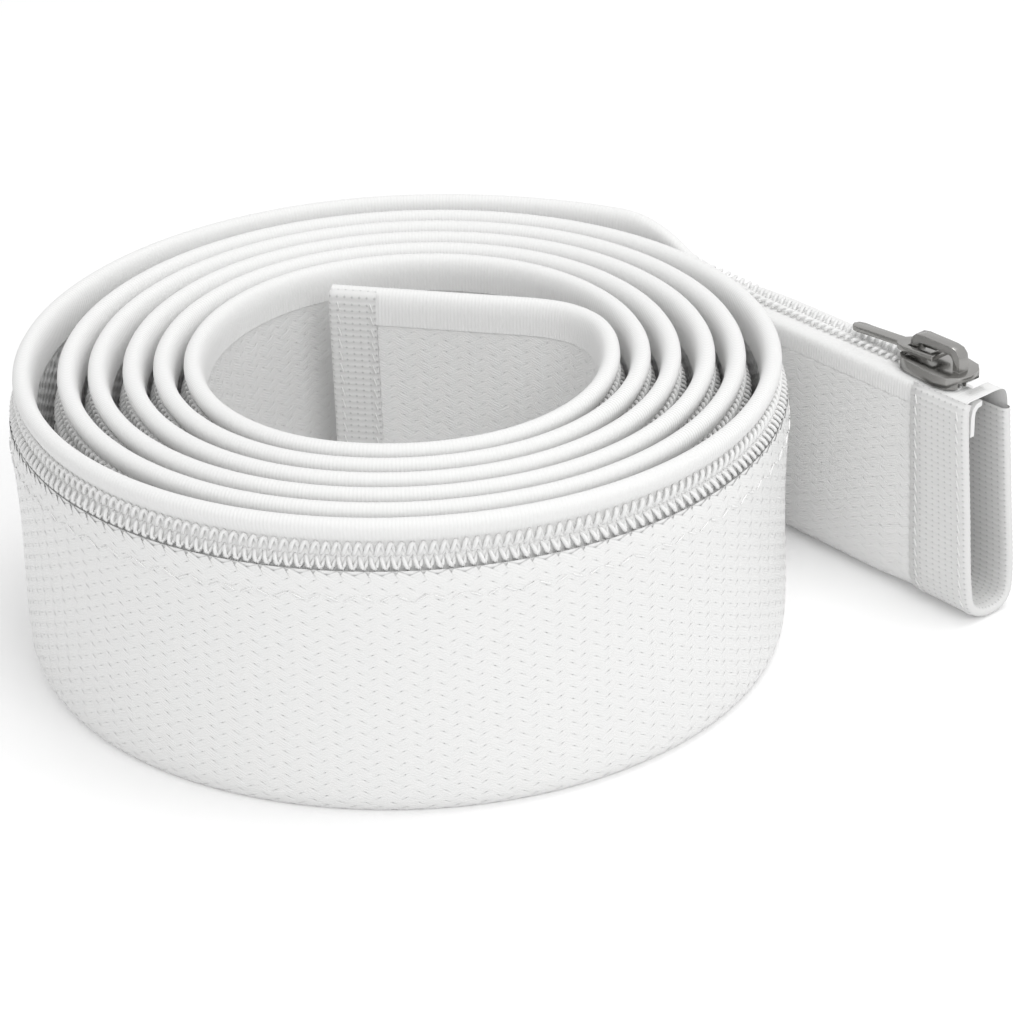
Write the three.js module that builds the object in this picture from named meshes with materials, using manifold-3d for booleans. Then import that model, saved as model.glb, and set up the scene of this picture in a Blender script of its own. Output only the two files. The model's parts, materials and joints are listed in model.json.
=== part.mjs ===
// Zippered cable sleeve, rolled up for storage and standing on its folded long edge.
// A flattened braided tube runs in a loose spiral. A coil zipper closes it along the top, and a short
// straight tail leaves the roll and opens into the mouth, where the slider and its pull sit.
// Millimetres, +Z up. +X runs along the tail towards its open end.
import * as THREE from 'three';
import { mergeVertices } from 'three/addons/utils/BufferGeometryUtils.js';
import Module from 'manifold-3d';

const wasm = await Module();
wasm.setup();

const DEG = Math.PI / 180;
const CURVE_SEGMENTS = 3;
const MERGE_DISTANCE = 1e-4;

// Flattened sleeve as it stands in the roll
const SLEEVE_HEIGHT = 51;
const SLEEVE_THICKNESS = 4.2;
const WAIST_THICKNESS = 3.5;
const BRAID_WALL = 0.7;
const FLOOR_THICKNESS = 1.1;
const FOLD_HEIGHT = 6;
const FOOT_WIDTH = 2;

// The same sleeve opened out at its mouth
const MOUTH_HEIGHT = 42;
const MOUTH_WIDTH = 10.8;
const MOUTH_FOLD_HEIGHT = 7;
const MOUTH_FOOT_WIDTH = 5;

// Roll, seen from above
const OUTER_RADIUS = 62.4;
const TURN_PITCH = 4.85;
const STEPS_PER_TURN = 26;
const SPIRAL_STEPS = 150;
const SPIRAL_START = 140 * DEG;
const OVAL = 0.02;
const OVAL_ANGLE = 50 * DEG;
const LOOSE_OUTER_TURN = 2.4;
const LOOSE_TURNS = 0.5;
// Places where two turns stand apart: how many turns in, and how far they part
const PARTED_TURNS = [[0.25, 1.2], [0.75, 0.9], [2.25, 0.7], [2.75, 0.6]];
const PARTED_HALF_WIDTH = 0.2;

// Inner end of the strip, which crosses the eye of the roll
const INNER_BEND_RADIUS = 14;
const INNER_BEND_ANGLE = 76 * DEG;
const INNER_CHORD = 36.5;
const INNER_BEND_STEPS = 7;
const INNER_CHORD_STEPS = 4;

// Tail
const TAIL_LINE = 70.5;
const TAIL_END = 63;
const TAIL_ARC_STEPS = 7;
const TAIL_STEPS = 10;
const OPENING_START = -22;
const OPENING_LENGTH = 32;
const CUT_LEAN = 3;
const CUT_LEAN_LENGTH = 22;

// Zipper: two tapes, each with a coil, and a slit between them for the slider's post
const CHAIN_WIDTH = 4.4;
const SLIT = 1;
const COIL_HEIGHT = 1.1;
const TAPE_THICKNESS = 0.5;
const TAPE_SEAT_GAP = 0.12;
const CHAIN_DEPTH = 5.9;
const CHAIN_OFFSET = 0.5;
const CHAIN_TILT = 72 * DEG;
const MOUTH_CHAIN_DEPTH = 1.3;
const TAPE_LAP = 4.2;
const TAPE_INSET = 0.3;
const SEAM_DROP = 5.2;
const ROLLED_OUTER_SEAM_DROP = 8.4;
const SEAM_GAP = 0.25;
// The inner tape's crest, across and above the chain: rolled, and at the mouth
const CREST = [[-2.95, 1.85], [-4.7, 2.05], [-5.85, 1.05], [-5.6, -0.4], [-4.15, -1.4]];
const MOUTH_CREST = [[-2.8, 0], [-3.5, 0], [-4.2, -0.1], [-4.9, -0.5], [-5.3, -1.6]];

// Ribbed binding tape over both raw ends
const BINDING_WIDTH = 11.4;
const BINDING_THICKNESS = 0.45;
const BINDING_GAP = 0.2;
const INNER_LEAF_DROP = 8;
const BINDING_STEPS = 2;
const BINDING_LIFT_LENGTH = 9;

// End stops and the turned-in tape end
const STOP_LENGTH = 1.4;
const STOP_HEIGHT = 0.5;
const STOP_GAP = 0.25;
const STOP_SETBACK = 1.2;
const STOP_INSET = 0.3;
const STUB_WIDTH = 3;
const STUB_DROP = 6;
const STUB_THICKNESS = 0.9;
const STUB_BEND = 1.6;
const STUB_WALL_GAP = 1.4;

// Slider
const SLIDER_LENGTH = 14.5;
const SLIDER_SETBACK = 10.5;
const SHOULDER_WIDTH = 8.8;
const REAR_WIDTH = 7.6;
const LOWER_WIDTH = 7.1;
const PLATE_THICKNESS = 1;
const RUNNING_GAP = 0.35;
const POST_THICKNESS = 0.4;
const POST_LENGTH = 2.2;
const POST_SETBACK = 1.3;
const BRIDGE_WIDTH = 2.2;
const BRIDGE_BAR = 1.5;
const BRIDGE_LENGTH = 11;
const BRIDGE_HEIGHT = 4.1;
const BRIDGE_ROUND = 1.2;

// Pull
const PULL_LENGTH = 19.5;
const PULL_WIDTH = 2;
const PULL_THICKNESS = 1;
const PULL_ARM = 0.9;
const PULL_BAR = 1.1;
const PULL_HINGE_HEIGHT = 1.35;
const PULL_GAP = 0.35;
const PULL_DROOP = 4 * DEG;
const PULL_TIP_WIDTH = 2.6;
const PULL_TIP_TAPER = 3.9;

const mix = (a, b, t) => a + (b - a) * t;

function smooth(x) {
  const t = Math.min(1, Math.max(0, x));
  return t * t * (3 - 2 * t);
}

// Plan of the roll. Turns are counted inwards from where the tail begins.
function partedBy(turns) {
  let shift = 0;
  for (const [at, opening] of PARTED_TURNS) {
    const inside = turns - at;
    const off = Math.abs(inside - Math.round(inside)) / PARTED_HALF_WIDTH;
    if (inside > 0.5 && off < 1) shift += opening * Math.cos(off * Math.PI / 2) ** 2;
  }
  return shift;
}

function spiralPoint(turns) {
  const angle = SPIRAL_START + turns * 2 * Math.PI;
  const oval = 1 + OVAL * Math.cos(2 * (angle - OVAL_ANGLE));
  const loose = LOOSE_OUTER_TURN * (1 - smooth(turns / LOOSE_TURNS));
  const radius = (OUTER_RADIUS - TURN_PITCH * turns) * oval + loose - partedBy(turns);
  return new THREE.Vector2(radius * Math.cos(angle), radius * Math.sin(angle));
}

// The tail arc touches the spiral at its start and the tail's straight line at its top.
function tailArc() {
  const start = spiralPoint(0);
  const rise = 1 - Math.sin(SPIRAL_START);
  const radius = (TAIL_LINE - start.y) / rise;
  const centre = new THREE.Vector2(start.x - radius * Math.cos(SPIRAL_START), TAIL_LINE - radius);
  return { radius, centre };
}

function planPoints() {
  const points = [];
  const last = spiralPoint(SPIRAL_STEPS / STEPS_PER_TURN);
  const before = spiralPoint((SPIRAL_STEPS - 1) / STEPS_PER_TURN);
  const heading = last.clone().sub(before).angle();
  const bendCentre = new THREE.Vector2(
    last.x - INNER_BEND_RADIUS * Math.sin(heading),
    last.y + INNER_BEND_RADIUS * Math.cos(heading),
  );
  const bendPoint = (turn) => new THREE.Vector2(
    bendCentre.x + INNER_BEND_RADIUS * Math.sin(heading + turn),
    bendCentre.y - INNER_BEND_RADIUS * Math.cos(heading + turn),
  );
  const chordStart = bendPoint(INNER_BEND_ANGLE);
  const chordHeading = heading + INNER_BEND_ANGLE;
  for (let i = INNER_CHORD_STEPS; i > 0; i--) {
    const run = INNER_CHORD * i / INNER_CHORD_STEPS;
    points.push(new THREE.Vector2(
      chordStart.x + run * Math.cos(chordHeading),
      chordStart.y + run * Math.sin(chordHeading),
    ));
  }
  for (let i = INNER_BEND_STEPS; i > 0; i--) {
    points.push(bendPoint(INNER_BEND_ANGLE * i / INNER_BEND_STEPS));
  }
  for (let i = SPIRAL_STEPS; i > 0; i--) points.push(spiralPoint(i / STEPS_PER_TURN));
  const arc = tailArc();
  for (let i = 0; i < TAIL_ARC_STEPS; i++) {
    const angle = mix(SPIRAL_START, Math.PI / 2, i / TAIL_ARC_STEPS);
    points.push(new THREE.Vector2(
      arc.centre.x + arc.radius * Math.cos(angle),
      arc.centre.y + arc.radius * Math.sin(angle),
    ));
  }
  for (let i = 0; i <= TAIL_STEPS; i++) {
    points.push(new THREE.Vector2(mix(arc.centre.x, TAIL_END, i / TAIL_STEPS), TAIL_LINE));
  }
  return points;
}

// A station is a place along the strip, with its outward direction and how open the sleeve is there.
function makeStations() {
  const points = planPoints();
  const total = [0];
  for (let i = 1; i < points.length; i++) total.push(total[i - 1] + points[i].distanceTo(points[i - 1]));
  const length = total[total.length - 1];
  return points.map((point, i) => {
    const next = points[Math.min(i + 1, points.length - 1)];
    const previous = points[Math.max(i - 1, 0)];
    const along = next.clone().sub(previous).normalize();
    const inTail = i > points.length - TAIL_STEPS - TAIL_ARC_STEPS - 2;
    return {
      point,
      along,
      outward: new THREE.Vector2(-along.y, along.x),
      travelled: total[i],
      left: length - total[i],
      open: inTail ? smooth((point.x - OPENING_START) / OPENING_LENGTH) : 0,
    };
  });
}

const stations = makeStations();

// The sleeve is lifted by its binding at both ends, and the mouth is cut with its foot standing forward.
function place(station, across, height) {
  const atEnd = Math.min(station.left, station.travelled);
  const lift = (BINDING_THICKNESS + BINDING_GAP)
    * (1 - smooth((atEnd - BINDING_WIDTH) / BINDING_LIFT_LENGTH));
  const lean = CUT_LEAN * smooth(1 - station.left / CUT_LEAN_LENGTH) * (1 - height / MOUTH_HEIGHT);
  return new THREE.Vector3(
    station.point.x + across * station.outward.x + lean * station.along.x,
    station.point.y + across * station.outward.y + lean * station.along.y,
    height + lift * Math.min(1, Math.max(0, 1 - height / FOLD_HEIGHT)),
  );
}

// Joins rings of equal length into a closed body. Its two ends are capped along the section's outline.
function loft(rings, firstOutline, lastOutline) {
  const count = rings[0].length;
  const position = rings.flat().flatMap((corner) => corner.toArray());
  const index = [];
  for (let r = 0; r + 1 < rings.length; r++) {
    for (let c = 0; c < count; c++) {
      const a = r * count + c;
      const b = r * count + (c + 1) % count;
      index.push(a, b, b + count, a, b + count, a + count);
    }
  }
  const lastRing = (rings.length - 1) * count;
  for (const [a, b, c] of THREE.ShapeUtils.triangulateShape(firstOutline, [])) index.push(c, b, a);
  for (const [a, b, c] of THREE.ShapeUtils.triangulateShape(lastOutline, [])) {
    index.push(lastRing + a, lastRing + b, lastRing + c);
  }
  const geometry = new THREE.BufferGeometry();
  geometry.setAttribute('position', new THREE.Float32BufferAttribute(position, 3));
  geometry.setIndex(index);
  return geometry;
}

// Carries a section, given as a function of the station, along a run of stations
function sweep(section, run = stations) {
  const outlines = run.map((station) => section(station).map(([a, h]) => new THREE.Vector2(a, h)));
  const rings = run.map((station, i) => outlines[i].map((p) => place(station, p.x, p.y)));
  return loft(rings, outlines[0], outlines[outlines.length - 1]);
}

// A short run at either end, between two distances short of the raw edge. Past the edge is negative.
function runAtEnd(atTail, from, to, steps) {
  const end = atTail ? stations[stations.length - 1] : stations[0];
  const run = Array.from({ length: steps + 1 }, (_, i) => {
    const short = mix(from, to, i / steps);
    const point = end.point.clone().addScaledVector(end.along, atTail ? -short : short);
    const left = atTail ? short : end.left;
    const travelled = atTail ? end.travelled : short;
    return { ...end, point, left, travelled };
  });
  return atTail ? run : run.reverse();
}

// Sizes of the section at one station, between rolled and open
function sizesAt(open) {
  return {
    height: mix(SLEEVE_HEIGHT, MOUTH_HEIGHT, open),
    half: mix(SLEEVE_THICKNESS, MOUTH_WIDTH, open) / 2,
    waist: mix(WAIST_THICKNESS, MOUTH_WIDTH, open) / 2,
    foot: mix(FOOT_WIDTH, MOUTH_FOOT_WIDTH, open) / 2,
    fold: mix(FOLD_HEIGHT, MOUTH_FOLD_HEIGHT, open),
  };
}

// Where the chain sits: its middle on the tape's face, its tilt, and points measured across and above it
function chainFrame(open) {
  const s = sizesAt(open);
  const tilt = mix(CHAIN_TILT, 0, open);
  const middle = [mix(CHAIN_OFFSET, 0, open), s.height - mix(CHAIN_DEPTH, MOUTH_CHAIN_DEPTH, open)];
  return (across, above) => [
    middle[0] + across * Math.cos(tilt) + above * Math.sin(tilt),
    middle[1] - across * Math.sin(tilt) + above * Math.cos(tilt),
  ];
}

// The braid ends at a seam on each side. On the outer side it is lower where the chain lies on that side.
function seamHeight(open, side) {
  const drop = side < 0 ? SEAM_DROP : mix(ROLLED_OUTER_SEAM_DROP, SEAM_DROP, open);
  return sizesAt(open).height - drop;
}

function braidSection(station) {
  const s = sizesAt(station.open);
  const w = BRAID_WALL;
  const middle = s.height / 2;
  const innerSeam = seamHeight(station.open, -1);
  const outerSeam = seamHeight(station.open, 1);
  return [
    [-s.half, innerSeam],
    [-s.waist, middle],
    [-s.half, s.fold],
    [-s.foot, 0],
    [s.foot, 0],
    [s.half, s.fold],
    [s.waist, middle],
    [s.half, outerSeam],
    [s.half - w, outerSeam],
    [s.waist - w, middle],
    [s.half - w, s.fold],
    [s.foot - w / 2, FLOOR_THICKNESS],
    [-(s.foot - w / 2), FLOOR_THICKNESS],
    [-(s.half - w), s.fold],
    [-(s.waist - w), middle],
    [-(s.half - w), innerSeam],
  ];
}

// Turns an open line into a strip of the tape's thickness, on the line's left.
function thicken(line) {
  const points = line.map(([a, h]) => new THREE.Vector2(a, h));
  const moved = points.map((point, i) => {
    const next = points[Math.min(i + 1, points.length - 1)];
    const previous = points[Math.max(i - 1, 0)];
    const run = next.clone().sub(previous).normalize();
    return [point.x - run.y * TAPE_THICKNESS, point.y + run.x * TAPE_THICKNESS];
  });
  return [...line, ...moved.reverse()];
}

// The inner tape runs from the slit over the crest and down to the inner seam.
function innerTapeSection(station) {
  const s = sizesAt(station.open);
  const at = chainFrame(station.open);
  const bottom = seamHeight(station.open, -1) + SEAM_GAP;
  const blend = (rolled, mouth) => at(
    mix(rolled[0], mouth[0], station.open),
    mix(rolled[1], mouth[1], station.open),
  );
  return thicken([
    at(-SLIT / 2, 0),
    at(-CHAIN_WIDTH / 2, 0),
    ...CREST.map((corner, i) => blend(corner, MOUTH_CREST[i])),
    [-s.half, bottom],
  ]);
}

// The outer tape runs from the slit down inside the braid's outer wall.
function outerTapeSection(station) {
  const s = sizesAt(station.open);
  const at = chainFrame(station.open);
  const reach = mix(CHAIN_WIDTH / 2, MOUTH_WIDTH / 2 - BRAID_WALL, station.open) - TAPE_INSET;
  const tucked = mix(SEAM_GAP + TAPE_INSET, SEAM_GAP, station.open);
  const bottom = seamHeight(station.open, 1) - TAPE_LAP;
  return thicken([
    [s.half - BRAID_WALL - tucked, bottom],
    at(reach, 0),
    at(SLIT / 2, 0),
  ]);
}

function coilSection(station, side) {
  const at = chainFrame(station.open);
  const near = side * SLIT / 2;
  const far = side * CHAIN_WIDTH / 2;
  const bevel = COIL_HEIGHT / 4;
  const low = TAPE_SEAT_GAP;
  const ring = [
    at(near, low),
    at(near, COIL_HEIGHT),
    at(far - side * bevel, COIL_HEIGHT),
    at(far, low + bevel),
  ];
  return side < 0 ? ring : ring.reverse();
}

// Booleans: a closed geometry becomes a solid, and the solid a geometry again.
function toSolid(geometry) {
  const plain = new THREE.BufferGeometry();
  plain.setAttribute('position', geometry.getAttribute('position').clone());
  if (geometry.index) plain.setIndex(geometry.index.clone());
  const merged = mergeVertices(plain, MERGE_DISTANCE);
  return new wasm.Manifold(new wasm.Mesh({
    numProp: 3,
    vertProperties: new Float32Array(merged.getAttribute('position').array),
    triVerts: new Uint32Array(merged.index.array),
  }));
}

function toGeometry(solid) {
  const mesh = solid.getMesh();
  const geometry = new THREE.BufferGeometry();
  geometry.setAttribute('position', new THREE.Float32BufferAttribute(mesh.vertProperties, 3));
  geometry.setIndex(Array.from(mesh.triVerts));
  return geometry;
}

// The binding is a folded tape: one leaf outside the braid, one inside, joined round the raw edge.
// The wall it follows is the braid's outer face moved outwards, from the inner side round to the outer.
function wallLine(s, out, [innerTop, outerTop]) {
  const floor = out > 0 ? -out : FLOOR_THICKNESS - out - BRAID_WALL;
  const foot = s.foot + out / 2;
  const middle = s.height / 2;
  return [
    [-(s.half + out), innerTop], [-(s.waist + out), middle], [-(s.half + out), s.fold], [-foot, floor],
    [foot, floor], [s.half + out, s.fold], [s.waist + out, middle], [s.half + out, outerTop],
  ];
}

function bindingPart(outer, inner, topDrop) {
  return (station) => {
    const s = sizesAt(station.open);
    const tops = [-1, 1].map((side) => seamHeight(station.open, side) - topDrop);
    return [...wallLine(s, outer, tops), ...wallLine(s, inner, tops).reverse()];
  };
}

function makeBinding(atTail) {
  const outside = BINDING_GAP + BINDING_THICKNESS;
  const inside = -BRAID_WALL - outside;
  const leafRun = runAtEnd(atTail, BINDING_WIDTH, -outside, BINDING_STEPS);
  const capRun = runAtEnd(atTail, -BINDING_GAP, -outside, 1);
  const outerLeaf = sweep(bindingPart(outside, BINDING_GAP, 0), leafRun);
  const innerLeaf = sweep(bindingPart(-BRAID_WALL - BINDING_GAP, inside, INNER_LEAF_DROP), leafRun);
  const cap = sweep(bindingPart(outside, inside, INNER_LEAF_DROP), capRun);
  return toGeometry(toSolid(outerLeaf).add(toSolid(innerLeaf)).add(toSolid(cap)));
}

// A bar of thread over both coils, just short of the raw edge
function makeEndStop(atTail) {
  const section = (station) => {
    const at = chainFrame(station.open);
    const reach = CHAIN_WIDTH / 2 - STOP_INSET;
    const low = COIL_HEIGHT + STOP_GAP;
    const high = low + STOP_HEIGHT;
    return [at(-reach, low), at(reach, low), at(reach, high), at(-reach, high)];
  };
  return sweep(section, runAtEnd(atTail, STOP_SETBACK + STOP_LENGTH, STOP_SETBACK, 1));
}

// Local frame of the slider: its middle, on the tape's face, in the tail
const tapeFace = MOUTH_HEIGHT - MOUTH_CHAIN_DEPTH;
const sliderPlace = new THREE.Vector3(TAIL_END - SLIDER_SETBACK, TAIL_LINE, tapeFace);

const upperPlateLow = COIL_HEIGHT + RUNNING_GAP;
const upperPlateTop = upperPlateLow + PLATE_THICKNESS;
const lowerPlateTop = -TAPE_THICKNESS - RUNNING_GAP;

function extrude(shape, depth) {
  return new THREE.ExtrudeGeometry(shape, { depth, bevelEnabled: false, curveSegments: CURVE_SEGMENTS });
}

const extrudeUp = (shape, low, high) => extrude(shape, high - low).translate(0, 0, low);

// Plan of a slider plate: a round nose towards the roll and wide shoulders towards the mouth
function plateShape(rearWidth, shoulderWidth) {
  const half = SLIDER_LENGTH / 2;
  const rear = rearWidth / 2;
  const front = shoulderWidth / 2;
  const shape = new THREE.Shape();
  shape.moveTo(-half, 0);
  shape.quadraticCurveTo(-half, -rear, -half + rear, -rear);
  shape.lineTo(half - front, -front);
  shape.quadraticCurveTo(half, -front, half, 0);
  shape.quadraticCurveTo(half, front, half - front, front);
  shape.lineTo(-half + rear, rear);
  shape.quadraticCurveTo(-half, rear, -half, 0);
  return shape;
}

function rectangle(x0, x1, y0, y1) {
  return new THREE.Shape([[x0, y0], [x1, y0], [x1, y1], [x0, y1]].map(([x, y]) => new THREE.Vector2(x, y)));
}

// The bridge is an arch along the slider, extruded across it.
function bridgeGeometry() {
  const half = BRIDGE_LENGTH / 2;
  const inner = half - BRIDGE_BAR;
  const sunk = -PLATE_THICKNESS / 2;
  const crown = BRIDGE_HEIGHT - BRIDGE_BAR;
  const shape = new THREE.Shape();
  shape.moveTo(-half, sunk);
  shape.lineTo(-inner, sunk);
  shape.lineTo(-inner, crown - BRIDGE_ROUND);
  shape.quadraticCurveTo(-inner, crown, -inner + BRIDGE_ROUND, crown);
  shape.lineTo(inner - BRIDGE_ROUND, crown);
  shape.quadraticCurveTo(inner, crown, inner, crown - BRIDGE_ROUND);
  shape.lineTo(inner, sunk);
  shape.lineTo(half, sunk);
  shape.lineTo(half, BRIDGE_HEIGHT - 2 * BRIDGE_ROUND);
  shape.quadraticCurveTo(half, BRIDGE_HEIGHT, half - 2 * BRIDGE_ROUND, BRIDGE_HEIGHT);
  shape.lineTo(-half + 2 * BRIDGE_ROUND, BRIDGE_HEIGHT);
  shape.quadraticCurveTo(-half, BRIDGE_HEIGHT, -half, BRIDGE_HEIGHT - 2 * BRIDGE_ROUND);
  const flat = extrude(shape, BRIDGE_WIDTH).translate(0, 0, -BRIDGE_WIDTH / 2);
  return flat.rotateX(Math.PI / 2).translate(0, 0, upperPlateTop);
}

function makeSlider() {
  const pastEnds = SLIDER_LENGTH;
  const channel = CHAIN_WIDTH / 2 + RUNNING_GAP;
  const upper = toSolid(extrudeUp(plateShape(REAR_WIDTH, SHOULDER_WIDTH), RUNNING_GAP, upperPlateTop));
  const groove = toSolid(extrudeUp(rectangle(-pastEnds, pastEnds, -channel, channel), 0, upperPlateLow));
  const lowerShape = plateShape(LOWER_WIDTH, LOWER_WIDTH);
  const lower = toSolid(extrudeUp(lowerShape, lowerPlateTop - PLATE_THICKNESS, lowerPlateTop));
  const postEnd = SLIDER_LENGTH / 2 - POST_SETBACK;
  const postShape = rectangle(postEnd - POST_LENGTH, postEnd, -POST_THICKNESS / 2, POST_THICKNESS / 2);
  const sunk = PLATE_THICKNESS / 2;
  const post = toSolid(extrudeUp(postShape, lowerPlateTop - sunk, upperPlateLow + sunk));
  const body = upper.subtract(groove).add(lower).add(post).add(toSolid(bridgeGeometry()));
  return toGeometry(body);
}

// The pull is cut from flat bar: an eye round the bridge, then a slim tab with a round tip.
const hingeHeight = upperPlateTop + PULL_HINGE_HEIGHT;

function makePull() {
  const eye = BRIDGE_WIDTH / 2 + PULL_GAP;
  const outer = eye + PULL_ARM;
  const bar = PULL_BAR / 2;
  const root = -(BRIDGE_LENGTH / 2 + PULL_GAP);
  const neck = root - 2 * PULL_ARM;
  const tab = PULL_WIDTH / 2;
  const tip = PULL_TIP_WIDTH / 2;
  const shape = new THREE.Shape();
  shape.moveTo(bar, -outer);
  shape.lineTo(bar, outer);
  shape.lineTo(root, outer);
  shape.quadraticCurveTo(neck, outer, neck - PULL_ARM, tab);
  shape.lineTo(-PULL_LENGTH + PULL_TIP_TAPER, tab);
  shape.quadraticCurveTo(-PULL_LENGTH, 2 * tip - tab, -PULL_LENGTH, 0);
  shape.quadraticCurveTo(-PULL_LENGTH, tab - 2 * tip, -PULL_LENGTH + PULL_TIP_TAPER, -tab);
  shape.lineTo(neck - PULL_ARM, -tab);
  shape.quadraticCurveTo(neck, -outer, root, -outer);
  shape.holes.push(rectangle(root, -bar, -eye, eye));
  return extrudeUp(shape, -PULL_THICKNESS / 2, PULL_THICKNESS / 2);
}

// The tape's turned-in end hangs inside the mouth, by the near wall.
function makeTapeEnd() {
  const back = MOUTH_WIDTH / 2 - BRAID_WALL - STUB_WALL_GAP;
  const top = -TAPE_THICKNESS - SEAM_GAP;
  const shape = new THREE.Shape();
  shape.moveTo(-back + STUB_BEND + STUB_THICKNESS, top);
  shape.quadraticCurveTo(-back, top, -back, top - STUB_BEND - STUB_THICKNESS);
  shape.lineTo(-back, top - STUB_DROP);
  shape.lineTo(-back + STUB_THICKNESS, top - STUB_DROP);
  shape.lineTo(-back + STUB_THICKNESS, top - STUB_BEND - STUB_THICKNESS);
  shape.quadraticCurveTo(
    -back + STUB_THICKNESS, top - STUB_THICKNESS,
    -back + STUB_BEND + STUB_THICKNESS, top - STUB_THICKNESS,
  );
  return extrude(shape, STUB_WIDTH).rotateX(Math.PI / 2).rotateZ(Math.PI / 2);
}

const finish = (color, roughness, metalness) => new THREE.MeshStandardMaterial({ color, roughness, metalness });
const materials = {
  braid: finish(0xf2f2f1, 0.62, 0),
  tape: finish(0xf4f4f3, 0.75, 0),
  coil: finish(0xf7f7f6, 0.45, 0),
  nickel: finish(0x8f8d88, 0.32, 1),
};

function addPiece(parent, name, geometry, material) {
  const mesh = new THREE.Mesh(geometry, material);
  mesh.name = name;
  parent.add(mesh);
  return mesh;
}

const sleeve = new THREE.Group();
addPiece(sleeve, 'braided_sleeve', sweep(braidSection), materials.braid);
addPiece(sleeve, 'zipper_tape_inner', sweep(innerTapeSection), materials.tape);
addPiece(sleeve, 'zipper_tape_outer', sweep(outerTapeSection), materials.tape);
addPiece(sleeve, 'zipper_coil_inner', sweep((station) => coilSection(station, -1)), materials.coil);
addPiece(sleeve, 'zipper_coil_outer', sweep((station) => coilSection(station, 1)), materials.coil);
addPiece(sleeve, 'end_binding_tail', makeBinding(true), materials.tape);
addPiece(sleeve, 'end_binding_inner', makeBinding(false), materials.tape);
addPiece(sleeve, 'end_stop_tail', makeEndStop(true), materials.coil);
addPiece(sleeve, 'end_stop_inner', makeEndStop(false), materials.coil);
const tapeEnd = addPiece(sleeve, 'zipper_tape_end', makeTapeEnd(), materials.tape);
tapeEnd.position.set(TAIL_END - STUB_WIDTH, TAIL_LINE, tapeFace);

const slider = new THREE.Group();
slider.position.copy(sliderPlace);
addPiece(slider, 'slider_body', makeSlider(), materials.nickel);
const pull = addPiece(slider, 'pull_tab', makePull(), materials.nickel);
pull.position.set(0, 0, hingeHeight);
pull.rotation.y = -PULL_DROOP;
sleeve.add(slider);

// The origin is under the middle of the whole object, on the surface it stands on.
const part = new THREE.Group();
part.add(sleeve);
part.updateMatrixWorld(true);
const bounds = new THREE.Box3().setFromObject(part, true);
const middle = bounds.getCenter(new THREE.Vector3());
sleeve.position.set(-middle.x, -middle.y, -bounds.min.z);

export default part;
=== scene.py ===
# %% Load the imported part
import json
import math

import bmesh
import bpy
import numpy as np
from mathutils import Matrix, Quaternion, Vector


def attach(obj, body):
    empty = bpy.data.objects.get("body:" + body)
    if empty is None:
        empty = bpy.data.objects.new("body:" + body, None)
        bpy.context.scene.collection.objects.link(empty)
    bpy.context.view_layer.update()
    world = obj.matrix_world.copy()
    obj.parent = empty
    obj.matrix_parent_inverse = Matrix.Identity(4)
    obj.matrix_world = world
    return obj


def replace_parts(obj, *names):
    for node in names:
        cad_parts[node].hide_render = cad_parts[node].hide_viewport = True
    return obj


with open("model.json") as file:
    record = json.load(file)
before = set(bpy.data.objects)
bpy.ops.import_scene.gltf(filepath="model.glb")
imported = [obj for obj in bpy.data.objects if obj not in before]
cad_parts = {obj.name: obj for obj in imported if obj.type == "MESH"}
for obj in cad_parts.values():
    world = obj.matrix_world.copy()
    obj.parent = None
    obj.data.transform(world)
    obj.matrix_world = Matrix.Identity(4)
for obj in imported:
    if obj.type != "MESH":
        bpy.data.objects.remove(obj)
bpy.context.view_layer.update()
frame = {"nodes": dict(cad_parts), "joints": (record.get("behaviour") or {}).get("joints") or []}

MM = 0.001
print("parts in the frame:", sorted(frame["nodes"]))

# %% [markdown]
# The object is one long braided tube, flattened, closed by a zipper and wound into a roll. Everything on it
# follows one line: the strip's path seen from above. So the line comes first, with the sizes of the solid
# part, and each surface is later given by how far it is along the line, across it and above the floor. Only
# the zipper turns upright a little later on the tail than in the solid. A path of formulas was chosen over a
# drawn curve, because the braid needs true distances along the strip.

# %% Sizes of the roll, in millimetres
STEPS_PER_TURN = 26
OUTER_RADIUS, TURN_PITCH, TURNS = 62.4, 4.85, 150 / STEPS_PER_TURN
SPIRAL_START, OVAL, OVAL_ANGLE = math.radians(140), 0.02, math.radians(50)
LOOSE_OUTER_TURN, LOOSE_TURNS = 2.4, 0.5
PARTED_TURNS, PARTED_HALF_WIDTH = ((0.25, 1.2), (0.75, 0.9), (2.25, 0.7), (2.75, 0.6)), 0.2
BEND_RADIUS, BEND_ANGLE, CHORD = 14, math.radians(76), 36.5
TAIL_LINE, TAIL_END = 70.5, 63
OPENING_START, OPENING_LENGTH = -18, 32
CUT_LEAN, CUT_LEAN_LENGTH = 3, 22
SLIDER_SETBACK, TAPE_FACE = 10.5, 40.7
CHORD_POINTS, BEND_POINTS, SPIRAL_POINTS, ARC_POINTS, TAIL_POINTS = 60, 60, 3000, 300, 200
LINE_POINTS, SMOOTHING_REACH = 2051, 5

slider_joint = next(j for j in frame["joints"] if j["name"] == "slider_travel")
slider_at = np.array(slider_joint["pos_m"]) / MM
shift = slider_at - (TAIL_END - SLIDER_SETBACK, TAIL_LINE, TAPE_FACE)
print("the roll's centre in the frame, mm:", shift.round(3))

# %% [markdown]
# From the inner end outwards the line is a straight chord across the eye, a round bend, a spiral, a wide
# arc that leaves the roll, and the straight tail. Each stretch is a formula of its own, and a running mean
# rounds off the joins, so that a surface carried along the line has no crease.

# %% The strip's path from above
def smooth(x):
    """Rises from 0 to 1 as x does, level at both ends: three x squared less two x cubed."""
    t = np.clip(x, 0, 1)
    return t * t * (3 - 2 * t)


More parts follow.
